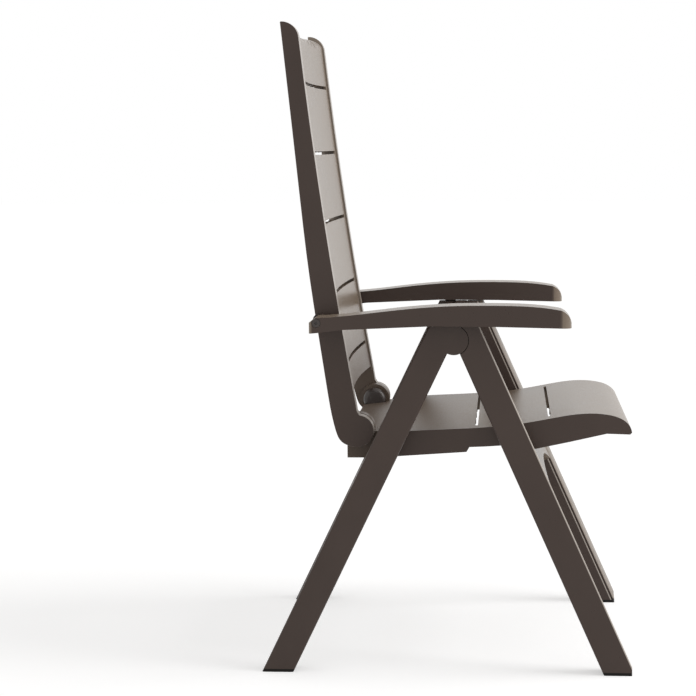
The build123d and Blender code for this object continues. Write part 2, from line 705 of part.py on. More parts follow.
def back_shell():
    """A moulded backrest: two rails, a hollowed sheet with level slots between them, and ribs behind."""
    block = plate(back_outline(), -back_half_width, back_half_width)
    path = in_side_view(back_front_path())
    nose, nose_centre, nose_end = back_nose()
    nose_path = in_side_view(nose)
    below_panel = slab(back_hinge_z - overrun * 2, back_panel_bottom_z, back_knuckle_inner_x)
    shell = block - below_panel
    hollow = sweep(back_section_plane(0) * hollow_face(), path=path)
    edge_top = back_panel_bottom_z + back_wall
    hollow = hollow - slab(back_hinge_z, edge_top)
    shell = shell - hollow
    core_radius = back_nose_radius - back_recess_depth - back_wall
    shell = shell - rod(nose_centre, core_radius, -back_half_width + back_skirt_wall, back_half_width - back_skirt_wall)
    ribs = []
    inner = back_half_width - back_skirt_wall / 2
    depth = back_recess_depth + back_wall + back_rib_depth
    for share in back_slot_shares():
        plane = back_section_plane(share)
        for shift in (-back_rib_from_slot, back_rib_from_slot):
            rib = plane.offset(shift) * (Pos(0, depth / 2) * Rectangle(inner * 2, depth))
            ribs.append(extrude(rib, amount=back_rib_thickness / 2, both=True))
    pitch = back_recess_half_width * 2 / (back_long_rib_count + 1)
    for index in range(back_long_rib_count):
        rib_x = -back_recess_half_width + pitch * (index + 1)
        face = Pos(rib_x, depth / 2) * Rectangle(back_rib_thickness, depth)
        ribs.append(sweep(back_section_plane(0) * face, path=path))
    rib_zone = slab(back_panel_bottom_z, back_rear_high[1], back_half_width - back_skirt_wall / 2)
    shell = shell + (fused(ribs) & block & rib_zone)
    shell = shell - sweep(back_section_plane(0) * recess_face(back_recess_depth, back_recess_half_width), path=path)
    nose_plane = Plane(origin=nose_path @ 0, x_dir=(1, 0, 0), z_dir=nose_path % 0)
    shell = shell - sweep(nose_plane * recess_face(back_recess_depth, back_recess_half_width), path=nose_path)
    top_plane = Plane(origin=nose_path @ 1, x_dir=(1, 0, 0), z_dir=(0, 1, 0))
    shell = shell - extrude(top_plane * recess_face(back_recess_depth, back_recess_half_width), amount=overrun)
    shell = shell - back_rim(nose_centre)
    for side in (-1, 1):
        middle = side * (back_recess_half_width - back_seam_width / 2)
        seam_reach = back_recess_step + back_seam_depth
        seam = Pos(middle, 0) * Rectangle(back_seam_width, seam_reach * 2)
        shell = shell - (sweep(back_section_plane(0) * seam, path=path) & slab(back_panel_bottom_z, back_rear_high[1]))
    for share in back_slot_shares():
        plane = back_section_plane(share)
        slot = plane * Rectangle(back_slot_half_length * 2, depth * 2)
        shell = shell - extrude(slot, amount=back_slot_width / 2, both=True)
    knuckle_low = back_knuckle_inner_x - overrun
    pin_bore = rod(back_hinge, back_pin_radius + running_play, knuckle_low, back_pin_end_x + side_play)
    for bore in both_sides(pin_bore):
        shell = shell - bore
    arm_boss = rod(arm_hinge, arm_bush_radius, back_half_width - back_skirt_wall * 4, back_half_width)
    shell = fused([shell] + both_sides(arm_boss & block))
    for bore in both_sides(rod(arm_hinge, arm_pin_radius + running_play, knuckle_low, arm_outer_x)):
        shell = shell - bore
    return shell


# Armrests
def arm_peg_place(share):
    """Where the catch peg lies in the armrest's own frame, at a share of the recline."""
    hinge = turned(arm_hinge, back_hinge, -recline_travel * share)
    tilt = arm_tilt_travel * share
    moved = (peg_y - hinge[0] + arm_hinge_y, peg_z - hinge[1] + arm_hinge_z)
    return turned(moved, arm_hinge, tilt)


def arm_rib_outline():
    """The side view of a catch rib: over the peg's travel below, up into the channel's roof above."""
    lift = peg_radius + arm_rib_play
    low = []
    for index in range(arm_rib_steps + 1):
        place = arm_peg_place(index / arm_rib_steps)
        low.append((place[0], place[1] + lift))
    start = (low[0][0] + tongue_width / 2, low[0][1])
    end = (low[-1][0] - tongue_width / 2, low[-1][1])
    return [start] + low + [end]


def arm_block():
    lines = [
        Spline(*arm_top_outline[1:arm_nose_start + 1]),
        Spline(*arm_top_outline[arm_nose_start:]),
        Polyline(arm_top_outline[-1], *arm_bottom_outline, arm_top_outline[0], arm_top_outline[1]),
    ]
    return plate(lines, arm_inner_x, arm_outer_x)


def arm_shell():
    """A moulded armrest: an arched channel, open below, with catch ribs, webs and a pivot boss."""
    block = arm_block()
    front = arm_top_outline[-1][0]
    rear = arm_top_outline[0][0]
    middle_x = (arm_inner_x + arm_outer_x) / 2
    plan = Pos(middle_x, (front + rear) / 2) * RectangleRounded(arm_width, rear - front, arm_tail_radius)
    nose_plan = Pos(middle_x, (front + rear) / 2) * Rectangle(arm_width, rear - front)
    nose_plan = fillet(nose_plan.vertices().group_by(Axis.Y)[0], arm_corner_radius)
    plan = plan & nose_plan
    column = extrude(Plane.XY.offset(arm_hinge_z - overrun) * plan, amount=overrun * 2)
    block = block & column
    inner_plan = offset(plan, amount=-arm_wall)
    inner_column = extrude(Plane.XY.offset(arm_hinge_z - overrun * 2) * inner_plan, amount=overrun * 4)
    roof = inset(arm_top_outline, arm_wall)
    low = arm_hinge_z - overrun
    hollow_lines = [
        Spline(*roof[1:arm_nose_start + 1]),
        Spline(*roof[arm_nose_start:]),
        Polyline(roof[-1], (roof[-1][0], low), (rear, low), (rear, roof[1][1]), roof[1]),
    ]
    hollow = plate(hollow_lines, arm_inner_x - overrun, arm_outer_x + overrun) & inner_column
    shell = block - hollow
    rib_low = arm_rib_outline()
    high = max(point[1] for point in arm_top_outline) + overrun
    rib_lines = [Spline(*rib_low), Polyline(rib_low[-1], (rib_low[-1][0], high), (rib_low[0][0], high), rib_low[0])]
    side_gap = tongue_thickness / 2 + side_play * 2
    ribs = []
    for side in (-1, 1):
        near = tongue_centre_x + side * side_gap
        far = near + side * arm_rib_thickness
        rib = plate(rib_lines, min(near, far), max(near, far))
        for share in catch_position_shares:
            place = arm_peg_place(share)
            notch_centre = (place[0], place[1] + arm_catch_depth)
            rib = rib - rod(notch_centre, peg_radius + arm_rib_play, min(near, far), max(near, far))
        ribs.append(rib)
    for share in arm_web_shares:
        web_y = rear + (front - rear) * share
        web = Pos(middle_x, web_y, high) * Box(arm_width, arm_web_thickness, overrun * 4)
        ribs.append(web & web_zone())
    boss = rod(arm_hinge, arm_boss_radius, arm_inner_x, arm_outer_x)
    ribs.append(boss)
    shell = shell + (fused(ribs) & block)
    shell = shell - rod(arm_hinge, arm_pin_radius + running_play, arm_inner_x - overrun, arm_outer_x + overrun)
    head_low = arm_outer_x - arm_pin_head_height
    return shell - rod(arm_hinge, arm_pin_head_radius + arm_pin_head_play, head_low, arm_outer_x + overrun)


def web_zone():
    """The space under the armrest's roof that its cross webs fill."""
    roof = inset(arm_top_outline, arm_wall / 2)
    floor = inset(arm_top_outline, arm_web_depth)
    lines = [
        Spline(*roof[1:arm_nose_start + 1]),
        Line(roof[arm_nose_start], floor[arm_nose_start]),
        Spline(*floor[1:arm_nose_start + 1]),
        Line(floor[1], roof[1]),
    ]
    return plate(lines, arm_inner_x, arm_outer_x)


# Pins, bushes and washers
def leg_pivot_pins():
    head = rod(leg_pivot, leg_pin_head_radius, leg_inner_x - leg_pin_head_height, leg_inner_x)
    pin = rod(leg_pivot, leg_pin_radius, leg_inner_x, leg_outer_x - leg_pin_end_wall - side_play)
    return both_sides(head + pin)


def ring(centre, outer, inner, x_low, x_high):
    return rod(centre, outer, x_low, x_high) - rod(centre, inner, x_low - overrun, x_high + overrun)


def leg_washers():
    low = lap_x - side_play
    high = lap_x + side_play
    return both_sides(ring(leg_pivot, leg_washer_radius, leg_pin_radius + running_play, low, high))


def catch_pegs():
    return both_sides(rod(peg, peg_radius, tongue_centre_x - peg_half_length, tongue_centre_x + peg_half_length))


def seat_hinge_pins():
    head_low = seat_pin_head_x - seat_pin_head_height
    head = rod(seat_hinge, seat_pin_head_radius, head_low, seat_pin_head_x)
    pin = rod(seat_hinge, seat_pin_radius, head_low, seat_pin_outer_x)
    return both_sides(head + pin)


def seat_hinge_washers():
    inner = seat_pin_radius + running_play
    return both_sides(ring(seat_hinge, seat_washer_radius, inner, seat_half_width, leg_inner_x))


def back_hinge_pins():
    head = rod(back_hinge, back_pin_head_radius, seat_lug_inner_x - back_pin_head_height, seat_lug_inner_x)
    head = fillet(head.edges().group_by(Axis.X)[0], back_pin_dome_radius)
    return both_sides(head + rod(back_hinge, back_pin_radius, seat_lug_inner_x, back_pin_end_x))


def back_hinge_washers():
    inner = back_pin_radius + running_play
    return both_sides(ring(back_hinge, back_washer_radius, inner, seat_rear_half_width, back_knuckle_inner_x))


def arm_pin():
    head_low = arm_outer_x - arm_pin_head_height
    end = back_half_width - back_skirt_wall * 4 - arm_nut_height
    pin = rod(arm_hinge, arm_pin_head_radius, head_low, arm_outer_x)
    pin = pin + rod(arm_hinge, arm_pin_radius, end, head_low)
    socket = extrude(Plane.YZ.offset(arm_outer_x - arm_pin_socket_depth)
                     * (Pos(*arm_hinge) * RegularPolygon(arm_pin_socket_radius, 6)), amount=overrun)
    return pin - socket


def arm_nut():
    low = back_half_width - back_skirt_wall * 4 - arm_nut_height
    nut = Plane.YZ.offset(low) * (Pos(*arm_hinge) * RegularPolygon(arm_nut_radius, 6))
    nut = extrude(nut, amount=arm_nut_height)
    return nut - rod(arm_hinge, arm_pin_radius + running_play, low - overrun, low + overrun)


def arm_bush():
    return ring(arm_hinge, arm_bush_radius, arm_pin_radius + running_play, back_half_width + side_play / 2,
                arm_inner_x - side_play / 2)


def build():
    os.makedirs("parts", exist_ok=True)
    front = (-1, front_leg_width, front_leg_angle)
    rear = (1, rear_leg_width, rear_leg_angle)
    front_dowels = panel_dowels(*front, front_panel_top_z, front_panel_foot_z, dowel_radius)
    rear_dowels = panel_dowels(*rear, rear_panel_top_z, rear_panel_foot_z, dowel_radius)
    left_front_leg = front_leg()
    for hole in panel_dowels(*front, front_panel_top_z, front_panel_foot_z, dowel_radius + running_play):
        left_front_leg = left_front_leg - hole
    left_rear_leg = rear_leg()
    for hole in panel_dowels(*rear, rear_panel_top_z, rear_panel_foot_z, dowel_radius + running_play):
        left_rear_leg = left_rear_leg - hole
    for name, solid in (("front_leg", left_front_leg), ("rear_leg", left_rear_leg), ("armrest", arm_shell()),
                        ("arm_pivot_pin", arm_pin()), ("arm_pivot_bush", arm_bush()), ("arm_pivot_nut", arm_nut())):
        left, right = both_sides(solid)
        save(name + "_left", left)
        save(name + "_right", right)
    cheek_seat = front_panel_proud + inner_band_setback - panel_seat_play
    save("front_cross_panel", cross_panel(*front, front_panel_top_z, front_panel_bottom_z, front_panel_foot_z,
                                          front_panel_proud, cheek_seat, leg_inner_x))
    save("rear_cross_panel", cross_panel(*rear, rear_panel_top_z, rear_panel_bottom_z, rear_panel_foot_z,
                                         rear_panel_proud, 0, panel_corner_reach))
    save("front_panel_dowels", front_dowels)
    save("rear_panel_dowels", rear_dowels)
    front_cap = foot_cap(*front, leg_wall, leg_front_wall)
    front_cap = front_cap + (front_band() & slab(0, foot_cap_height)) - toe_cut()
    save("front_foot_caps", both_sides(front_cap))
    save("rear_foot_caps", both_sides(foot_cap(*rear, leg_wall, leg_wall)))
    save("leg_pivot_pins", leg_pivot_pins())
    save("leg_pivot_washers", leg_washers())
    save("catch_pegs", catch_pegs())
    save("seat_shell", seat_shell())
    save("seat_hinge_pins", seat_hinge_pins())
    save("seat_hinge_washers", seat_hinge_washers())
    save("backrest_shell", back_shell())
    save("back_hinge_pins", back_hinge_pins())
    save("back_hinge_washers", back_hinge_washers())


build()
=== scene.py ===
# Reclining folding garden armchair in moulded resin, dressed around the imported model.
# Metres, floor at zero, the chair faces -Y and its near side in the photograph is -X.
# Angles are in degrees, and the camera's lens and sensor in millimetres.
import json
from math import cos, pi, radians, sin, tan

import bmesh
import bpy
from mathutils import Matrix, Vector


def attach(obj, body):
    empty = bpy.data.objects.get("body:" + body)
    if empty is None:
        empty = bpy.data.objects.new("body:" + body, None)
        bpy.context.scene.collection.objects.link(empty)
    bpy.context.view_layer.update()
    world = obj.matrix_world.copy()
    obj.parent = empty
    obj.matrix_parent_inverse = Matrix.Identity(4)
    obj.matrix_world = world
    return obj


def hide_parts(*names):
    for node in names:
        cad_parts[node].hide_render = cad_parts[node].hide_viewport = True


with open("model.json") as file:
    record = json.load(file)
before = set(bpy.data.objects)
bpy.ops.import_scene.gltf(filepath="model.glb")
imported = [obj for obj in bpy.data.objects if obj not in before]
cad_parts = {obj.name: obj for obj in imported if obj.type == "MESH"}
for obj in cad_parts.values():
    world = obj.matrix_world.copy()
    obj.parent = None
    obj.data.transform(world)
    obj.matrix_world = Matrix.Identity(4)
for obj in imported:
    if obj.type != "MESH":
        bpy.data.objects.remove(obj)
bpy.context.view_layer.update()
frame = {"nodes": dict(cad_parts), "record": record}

# Camera, fitted to the photograph
CAMERA_PLACE = (-3.666, -0.0996, 0.882)
CAMERA_HEADING = 4.459
CAMERA_DROP = 5.572
CAMERA_ROLL = -0.4395
CAMERA_LENS = 105.25
CAMERA_REACH = 100.0
SENSOR = 36.0

# Lamps, floor and sky
KEY_TOWARDS = (0.05, 0.76, -0.64)
KEY_STRENGTH = 0.25 * pi
KEY_SPREAD = 30
BOX_PLACE = (-0.2, -1.9, 1.25)
BOX_TARGET = (0.0, -0.1, 0.5)
BOX_SIZE = (1.6, 0.9)
BOX_POWER = 13.0
FLOOR_SIZE = 30.0
FLOOR_PALE = (0.74, 0.74, 0.74, 1.0)
FLOOR_GLOW = 0.46
WHITE = (1.0, 1.0, 1.0, 1.0)
WHITE_STRENGTH = 1.0
SKY = (1.0, 0.99, 0.98, 1.0)
SKY_STRENGTH = 0.60

# The backrest's sheet: its front's path in the side view, its dish across and its wall
SHEET_FRONT = ((0.1556, 0.4594), (0.2058, 0.7650), (0.2457, 1.0700))
SHEET_HALF_WIDTH = 0.229
SHEET_STEP = 0.003
SHEET_DEPTH = 0.0125
SHEET_WALL = 0.0042

# How finely the sheet is cut, and what still counts as one of its two faces
SHEET_COLUMNS = 24
SHEET_ROWS = 40
CUT_DISTANCE = 0.00001
LEAST_FACING = 0.9
SIDE_SLACK = 0.001
DEPTH_SLACK = 0.0008

# Merged corners and eased edges of the moulded pieces
MERGE_DISTANCE = 0.00002
FLAT_ANGLE = 0.2
SHARP_ANGLE = 32
EASED_ANGLE = 35
EASED_WIDTH = 0.0012
ARM_EASED_WIDTH = 0.0010
SEAT_EASED_WIDTH = 0.0016
EASED_SEGMENTS = 2
RAIL_EASED_FROM = 0.2525

# Broad faces, painted paler than the sides as a painted sheen, each between two distances from the middle
# plane, and how softly they begin and end
NO_INNER_SIDE = -0.1
ARM_TOP = (0.2676, 0.3304)
LEG_BAND = (0.2560, 0.2656)
LEG_CROWN = (0.2681, 0.3004)
SEAT_TOP = (NO_INNER_SIDE, 0.2504)
BACKREST_FRONT = (NO_INNER_SIDE, 0.2534)
PANEL_FRONT = (NO_INNER_SIDE, 0.400)
# The rails' fronts, where a painted highlight is mixed into the backrest's colour
RAIL_FRONT = (0.2282, 0.2534)
SIDE_FADE = (0.0004, 0.0012)

# The plane of a front leg's crowned face, painted paler as a painted sheen: its Y at the floor, its lean,
# and depths behind it
LEG_FRONT = -0.31041
LEG_LEAN = 23.9
LEG_FACE_DEPTH = (0.0045, 0.0055)
# Where the painted highlight lines run: along the crown's outer edge and the band's inner edge
CROWN_EDGE_DEPTH = (-0.0044, -0.0036)
CROWN_EDGE_ACROSS = (0.2978, 0.2986)
BAND_EDGE_DEPTH = (0.0048, 0.0056)
BAND_EDGE_ACROSS = (0.2594, 0.2602)

# From the bright end to the shaded end: Y on the seat, Z on the backrest
SEAT_SHADE = (-0.22, 0.15)
BACKREST_SHADE = (0.60, 0.47)

# Surface colours, linear
RESIN = (0.060, 0.040, 0.032, 1.0)
RESIN_PALE = (0.095, 0.068, 0.056, 1.0)
RESIN_DEEP = (0.036, 0.024, 0.019, 1.0)
# Grain tones for the broad faces, paler than the resin as a painted sheen
GRAIN_AND_SHEEN_DEEP = (0.150, 0.114, 0.084, 1.0)
GRAIN_AND_SHEEN_PALE = (0.290, 0.228, 0.172, 1.0)
# A pale colour painted along edges as a painted highlight
PAINTED_HIGHLIGHT = (0.520, 0.465, 0.415, 1.0)
STEEL_PAINT = (0.040, 0.030, 0.026, 1.0)
STEEL_WORN = (0.16, 0.14, 0.13, 1.0)
FOOT_RUBBER = (0.012, 0.011, 0.010, 1.0)
GROUND_DUST = (0.05, 0.045, 0.04, 1.0)

# Surface relief and shine
PEEL_HEIGHT = 0.00002
GRAIN_HEIGHT = 0.00004
PAINT_HEIGHT = 0.00003
RUBBER_HEIGHT = 0.00006
RESIN_IOR = 1.36
COAT_IOR = 1.45
RUBBER_IOR = 1.25
# How strongly the rails' fronts take the painted highlight
RAIL_HIGHLIGHT_SHARE = 0.45
EVEN = (1.0, 1.0, 1.0)
GRAIN_ACROSS = (0.25, 1.0, 1.0)
GRAIN_UPRIGHT = (1.0, 1.0, 0.25)

# A piece's own coordinates, and the Mix node's sockets for colours
ACROSS, REARWARD, UPWARD = range(3)
MIX_SHARE = 0
MIX_FIRST = 6
MIX_SECOND = 7
MIX_COLOUR = 2


class Field:
    """A shader socket that takes part in plain arithmetic."""

    def __init__(self, nodes, socket):
        self.nodes = nodes
        self.socket = socket

    def _math(self, operation, first, second=None):
        return self.nodes.node("ShaderNodeMath", {"operation": operation}, {0: first, 1: second})

    def __add__(self, other):
        return self._math("ADD", self, other)

    def __radd__(self, other):
        return self._math("ADD", other, self)

    def __sub__(self, other):
        return self._math("SUBTRACT", self, other)

    def __rsub__(self, other):
        return self._math("SUBTRACT", other, self)

    def __mul__(self, other):
        return self._math("MULTIPLY", self, other)

    def __rmul__(self, other):
        return self._math("MULTIPLY", other, self)

    def absolute(self):
        return self._math("ABSOLUTE", self)

    def at_least(self, other):
        return self._math("MAXIMUM", self, other)

    def beside(self, output):
        """Another output of the same node."""
        return Field(self.nodes, self.socket.node.outputs[output])


class Nodes:
    """A node tree under construction, with one method for every node."""

    def __init__(self, tree):
        self.tree = tree
        self.tree.nodes.clear()

    def node(self, kind, settings=None, inputs=None, output=0):
        made = self.tree.nodes.new(kind)
        for name, value in (settings or {}).items():
            setattr(made, name, value)
        for name, value in (inputs or {}).items():
            if value is None:
                continue
            if isinstance(value, Field):
                self.tree.links.new(value.socket, made.inputs[name])
            else:
                made.inputs[name].default_value = value
        return Field(self, made.outputs[output]) if made.outputs else None


class Finish(Nodes):
    """A material under construction."""

    def __init__(self, name):
        self.material = bpy.data.materials.new(name)
        self.material.use_nodes = True
        super().__init__(self.material.node_tree)

    def own_place(self):
        """The piece's own coordinates, which move with it."""
        return self.node("ShaderNodeTexCoord", output="Object")

    def axis(self, index):
        """One of the piece's own coordinates: across, rearward or upward."""
        return self.node("ShaderNodeSeparateXYZ", {}, {0: self.own_place()}, output=index)

    def behind(self, front, lean):
        """The depth behind a plane that leans back, given by its Y at the floor and its angle."""
        return (self.axis(REARWARD) - self.axis(UPWARD) * tan(radians(lean)) - front) * cos(radians(lean))

    def noise(self, scale, detail=2.0, roughness=0.5, stretch=EVEN):
        place = self.node("ShaderNodeMapping", {}, {"Vector": self.own_place(), "Scale": stretch})
        return self.node("ShaderNodeTexNoise", {}, {
            "Vector": place, "Scale": scale, "Detail": detail, "Roughness": roughness})

    def spread(self, field, low, high, out_low=0.0, out_high=1.0):
        return self.node("ShaderNodeMapRange", {"clamp": True}, {
            0: field, 1: low, 2: high, 3: out_low, 4: out_high})

    def falling(self, field, limits):
        """1 below both limits of a field, 0 above them."""
        return self.spread(field, *limits, 1.0, 0.0)

    def mixed(self, share, first, second):
        return self.node("ShaderNodeMix", {"data_type": "RGBA"}, {
            MIX_SHARE: share, MIX_FIRST: first, MIX_SECOND: second}, MIX_COLOUR)

    def bumped(self, height, depth):
        return self.node("ShaderNodeBump", {}, {"Height": height, "Distance": depth, "Strength": 1.0})

    def surface(self, inputs):
        shader = self.node("ShaderNodeBsdfPrincipled", {}, inputs)
        self.node("ShaderNodeOutputMaterial", {}, {"Surface": shader})
        return self.material


def smooth_resin(name, base, pale, rough):
    """Semi-gloss moulded resin: soft mottling, faint flow marks and a fine orange-peel skin."""
    skin = Finish(name)
    mottle = skin.spread(skin.noise(9.0, 3.0, 0.6), 0.3, 0.7)
    flow = skin.spread(skin.noise(26.0, 2.0, 0.5, (1.0, 1.0, 0.35)), 0.35, 0.65)
    colour = skin.mixed(mottle * 0.20 + flow * 0.10, base, pale)
    peel = skin.noise(900.0, 2.0, 0.5)
    scuffs = skin.spread(skin.noise(60.0, 4.0, 0.65, (1.0, 1.0, 0.2)), 0.60, 0.78)
    roughness = rough + mottle * 0.05 + scuffs * 0.08
    normal = skin.bumped(peel, PEEL_HEIGHT)
    return skin.surface({"Base Color": colour, "Roughness": roughness, "Normal": normal, "IOR": RESIN_IOR})


def inside_sides(low, high):
    """Everything between two distances from the middle plane, but not the upright sides themselves."""
    start, end = SIDE_FADE

    def mask(skin):
        across = skin.axis(ACROSS).absolute()
        inner = skin.spread(across, low + start, low + end)
        return inner * skin.falling(across, (high - end, high - start))
    return mask


def leg_face(skin):
    """The crowned face along the front of a leg, and the narrow band beside its groove, where the paler
    colour of a painted sheen goes.
    """
    face = skin.falling(skin.behind(LEG_FRONT, LEG_LEAN), LEG_FACE_DEPTH)
    return face * (inside_sides(*LEG_BAND)(skin) + inside_sides(*LEG_CROWN)(skin))


def leg_edge_highlights(skin):
    """Painted highlights along the front edges of a leg: the crown's outer edge and the band's inner edge.
    """
    depth = skin.behind(LEG_FRONT, LEG_LEAN)
    across = skin.axis(ACROSS).absolute()
    crown = skin.falling(depth, CROWN_EDGE_DEPTH) * skin.spread(across, *CROWN_EDGE_ACROSS)
    band = skin.falling(depth, BAND_EDGE_DEPTH) * skin.falling(across, BAND_EDGE_ACROSS)
    return crown.at_least(band)


def rail_front_highlights(skin):
    """A painted highlight on the rails' fronts and their low steps down to the sheet, weaker than on the
    legs' edges.
    """
    return inside_sides(*RAIL_FRONT)(skin) * RAIL_HIGHLIGHT_SHARE


def painted_shading(index, start, end):
    """Painted shade: how far a broad face has passed from its bright end to its shaded end."""
    def share(skin):
        return skin.spread(skin.axis(index), start, end)
    return share


def grained_resin(name, stretch, broad_mask, grain=1.0, painted_shade=None, edges=None):
    """Satin resin: paler with a fine cross grain on the broad faces, where the paleness is a painted
    sheen, smooth and darker on the sides; with painted shade along a broad face and painted highlights on
    edges where asked.
    """
    skin = Finish(name)
    # Painted sheen: the broad faces take paler grain tones than the sides
    broad = broad_mask(skin)
    # Painted shade: 1 at a broad face's bright end, falling to 0 at its shaded end
    painted_light_share = 1.0 - painted_shade(skin) if painted_shade else 1.0
    streaks = skin.spread(skin.noise(420.0, 3.0, 0.6, stretch), 0.30, 0.70)
    speckle = skin.spread(skin.noise(650.0, 2.0, 0.5), 0.35, 0.70)
    cloud = skin.spread(skin.noise(7.0, 3.0, 0.6), 0.3, 0.7)
    tone = streaks * (0.35 * grain) + speckle * (0.25 * grain) + cloud * 0.20 + 0.30 * (1.0 - grain)
    grain_and_sheen_colour = skin.mixed(tone * (0.35 + painted_light_share * 0.65), GRAIN_AND_SHEEN_DEEP, GRAIN_AND_SHEEN_PALE)
    side_colour = skin.mixed(cloud * 0.25, RESIN, RESIN_PALE)
    colour = skin.mixed(broad * (0.45 + painted_light_share * 0.55), side_colour, grain_and_sheen_colour)
    # Painted highlights: a pale colour mixed in along the chosen edges
    if edges:
        colour = skin.mixed(edges(skin), colour, PAINTED_HIGHLIGHT)
    roughness = 0.36 - painted_light_share * 0.10 + streaks * 0.08 + cloud * 0.03
    normal = skin.bumped(streaks * 0.6 + speckle * 0.4, GRAIN_HEIGHT * grain)
    return skin.surface({
        "Base Color": colour, "Roughness": roughness, "Normal": normal, "IOR": RESIN_IOR,
        "Coat Weight": broad * painted_light_share * 0.16, "Coat Roughness": 0.22, "Coat IOR": COAT_IOR})


def painted_steel(name):
    """Dark painted steel with patches of wear, slightly brighter."""
    skin = Finish(name)
    wear = skin.spread(skin.noise(140.0, 4.0, 0.6), 0.55, 0.75)
    normal = skin.bumped(skin.noise(700.0, 2.0), PAINT_HEIGHT)
    return skin.surface({
        "Base Color": skin.mixed(wear * 0.5, STEEL_PAINT, STEEL_WORN),
        "Roughness": 0.34 + wear * 0.2, "Metallic": wear * 0.4, "Normal": normal})


def foot_rubber(name):
    """Matt rubber-like cap with ground dust."""
    skin = Finish(name)
    dust = skin.spread(skin.noise(80.0, 4.0, 0.6), 0.5, 0.8)
    normal = skin.bumped(skin.noise(500.0, 3.0), RUBBER_HEIGHT)
    return skin.surface({
        "Base Color": skin.mixed(dust * 0.2, FOOT_RUBBER, GROUND_DUST),
        "Roughness": 0.65 + dust * 0.2, "Normal": normal, "IOR": RUBBER_IOR})


# Broad faces take a painted sheen; the seat and backrest also take painted shade, and the front legs and
# rails painted highlights
ARM = grained_resin("resin_arm", GRAIN_ACROSS, inside_sides(*ARM_TOP), 0.4)
FRONT_LEG = grained_resin("resin_front_leg", GRAIN_UPRIGHT, leg_face, 0.4, edges=leg_edge_highlights)
REAR_LEG = smooth_resin("resin_rear_leg", RESIN, RESIN_PALE, 0.30)
SEAT = grained_resin(
    "resin_seat", GRAIN_ACROSS, inside_sides(*SEAT_TOP), painted_shade=painted_shading(REARWARD, *SEAT_SHADE))
BACKREST = grained_resin(
    "resin_sheet", GRAIN_ACROSS, inside_sides(*BACKREST_FRONT), painted_shade=painted_shading(UPWARD, *BACKREST_SHADE),
    edges=rail_front_highlights)
PANEL = grained_resin("resin_panel", GRAIN_ACROSS, inside_sides(*PANEL_FRONT))
PIN = painted_steel("pin_paint")
FOOT = foot_rubber("foot_cap")
BEARING = smooth_resin("bearing_resin", RESIN_DEEP, RESIN, 0.35)


def object_from(name, mesh, body, finish):
    """A finished piece: linked, shaded smooth where it curves, riding on its body."""
    piece = bpy.data.objects.new(name, mesh)
    bpy.context.scene.collection.objects.link(piece)
    for face in mesh.polygons:
        face.use_smooth = True
    mesh.set_sharp_from_angle(angle=radians(SHARP_ANGLE))
    mesh.materials.clear()
    mesh.materials.append(finish)
    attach(piece, body)
    return piece


def body_of(node):
    for body, nodes in frame["record"]["behaviour"]["bodies"].items():
        if node in nodes:
            return body
    return None


def circle_through(first, middle, last):
    """The centre and radius of the circle through three points of the side view."""
    a = Vector(middle) - Vector(first)
    b = Vector(last) - Vector(first)
    turn = 2 * (a.x * b.y - a.y * b.x)
    y = (b.y * a.length_squared - a.y * b.length_squared) / turn
    z = (a.x * b.length_squared - b.x * a.length_squared) / turn
    return Vector(first) + Vector((y, z)), Vector((y, z)).length


def sheet_depth(x):
    """How far the sheet lies behind the rails' front at a distance from the middle plane."""
    sag = SHEET_DEPTH - SHEET_STEP
    radius = (SHEET_HALF_WIDTH ** 2 + sag ** 2) / (2 * sag)
    return SHEET_DEPTH - radius + (radius ** 2 - x ** 2) ** 0.5


def sheet_cuts():
    """The planes between the sheet's columns and rows, each as a point and a direction."""
    cuts = []
    for step in range(1, SHEET_COLUMNS):
        x = SHEET_HALF_WIDTH * (2 * step / SHEET_COLUMNS - 1)
        cuts.append(((x, 0.0, 0.0), (1.0, 0.0, 0.0)))
    low = SHEET_FRONT[0][1]
    high = SHEET_FRONT[-1][1]
    for step in range(1, SHEET_ROWS):
        z = low + (high - low) * step / SHEET_ROWS
        cuts.append(((0.0, 0.0, z), (0.0, 0.0, 1.0)))
    return cuts


def sheet_fields(work, facing, centre, radius):
    """The fields of one face of the sheet: those turned its way that lie on its double curve."""
    fields = []
    for field in work.faces:
        if field.normal.y * facing < LEAST_FACING:
            continue
        if any(abs(corner.co.x) >= SHEET_HALF_WIDTH + SIDE_SLACK for corner in field.verts):
            continue
        reaches = [(Vector((corner.co.y, corner.co.z)) - centre).length for corner in field.verts]
        depths = [sheet_depth(corner.co.x) for corner in field.verts]
        if all(abs(reach - radius - depth) < DEPTH_SLACK for reach, depth in zip(reaches, depths)):
            fields.append(field)
    return fields


def corners_of(fields):
    """Each corner once, in a steady order."""
    return list(dict.fromkeys(corner for field in fields for corner in field.verts))


def refined_sheet(work):
    """Both faces of the sheet cut into small fields that follow its double curve, for clean highlights."""
    centre, front_radius = circle_through(*SHEET_FRONT)
    for facing, radius in ((-1, front_radius), (1, front_radius + SHEET_WALL)):
        for place, across in sheet_cuts():
            fields = sheet_fields(work, facing, centre, radius)
            edges = list(dict.fromkeys(edge for field in fields for edge in field.edges))
            bmesh.ops.bisect_plane(
                work, geom=corners_of(fields) + edges + fields, plane_co=place, plane_no=across,
                dist=CUT_DISTANCE)
        for corner in corners_of(sheet_fields(work, facing, centre, radius)):
            spoke = Vector((corner.co.y, corner.co.z)) - centre
            settled = centre + spoke * ((radius + sheet_depth(corner.co.x)) / spoke.length)
            corner.co.y = settled.x
            corner.co.z = settled.y


